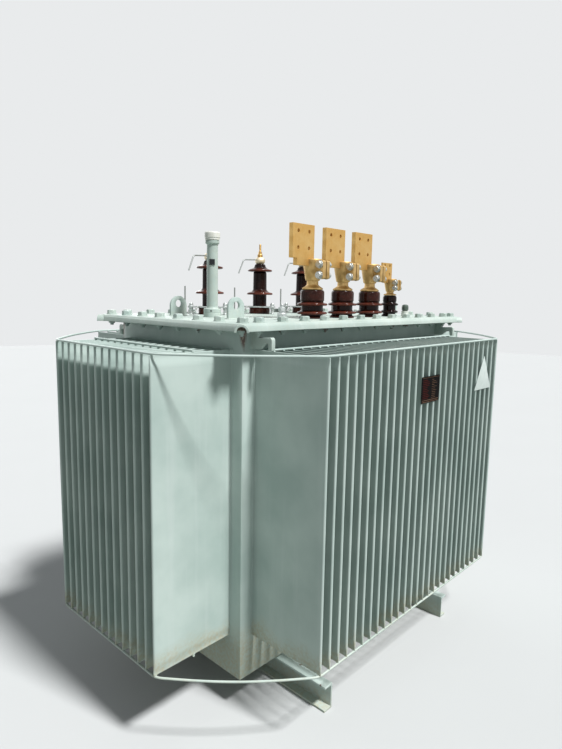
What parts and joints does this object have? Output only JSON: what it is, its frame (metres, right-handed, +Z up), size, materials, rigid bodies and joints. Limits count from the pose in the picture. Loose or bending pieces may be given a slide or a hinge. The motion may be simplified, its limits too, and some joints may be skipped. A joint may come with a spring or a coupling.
{
  "type": "power transformer",
  "caption": "Oil-filled power transformer with a finned steel tank, bolted cover, porcelain bushings with brass terminals, lifting points and skid channels.",
  "frame": {"origin": "on the ground plane under the middle of the tank, level with the skid undersides", "axes": "+X along the long side with the low-voltage terminals in front at -Y, +Z up"},
  "size_m": [1.906, 1.3233, 1.6919],
  "materials": {
    "tank_paint": "satin pale grey-green paint with dust",
    "gasket_rubber": "matte",
    "cream_plastic": "satin",
    "brown_porcelain": "glossy glaze",
    "cast_brass": "bright, lightly tarnished",
    "galvanised_steel": "zinc plated",
    "etched_plate": "dark, blank",
    "white_plate": "satin, blank"
  },
  "bodies": {
    "root": {"tank_body": "tank_paint", "skid_left": "tank_paint", "skid_right": "tank_paint", "fin_wall_front": "tank_paint", "fin_wall_back": "tank_paint", "fin_wall_left": "tank_paint", "fin_wall_right": "tank_paint", "tie_bar_front": "tank_paint", "tie_bar_back": "tank_paint", "tie_bar_left": "tank_paint", "tie_bar_right": "tank_paint", "ring_rod_top": "tank_paint", "ring_rod_bottom": "tank_paint", "tank_flange": "tank_paint", "cover": "tank_paint", "cover_lug_front_left": "tank_paint", "cover_lug_front_right": "tank_paint", "cover_lug_back_left": "tank_paint", "cover_lug_back_right": "tank_paint", "tank_hook_front_left": "tank_paint", "tank_hook_front_right": "tank_paint", "tank_hook_back_left": "tank_paint", "tank_hook_back_right": "tank_paint", "oil_filler_tube": "tank_paint", "cover_gasket": "gasket_rubber", "oil_filler_cap": "cream_plastic", "hv_bushing_1": "brown_porcelain", "hv_bushing_2": "brown_porcelain", "hv_bushing_3": "brown_porcelain", "lv_bushing_1": "brown_porcelain", "lv_bushing_2": "brown_porcelain", "lv_bushing_3": "brown_porcelain", "neutral_bushing": "brown_porcelain", "hv_terminal_1": "cast_brass", "hv_terminal_2": "cast_brass", "hv_terminal_3": "cast_brass", "lv_terminal_1": "cast_brass", "lv_terminal_2": "cast_brass", "lv_terminal_3": "cast_brass", "neutral_terminal": "cast_brass", "hv_press_plate_1": "galvanised_steel", "hv_press_plate_2": "galvanised_steel", "hv_press_plate_3": "galvanised_steel", "thermometer_pocket": "galvanised_steel", "vent_plug": "galvanised_steel", "nameplate": "etched_plate", "triangle_plate": "white_plate"}
  },
  "joints": []
}
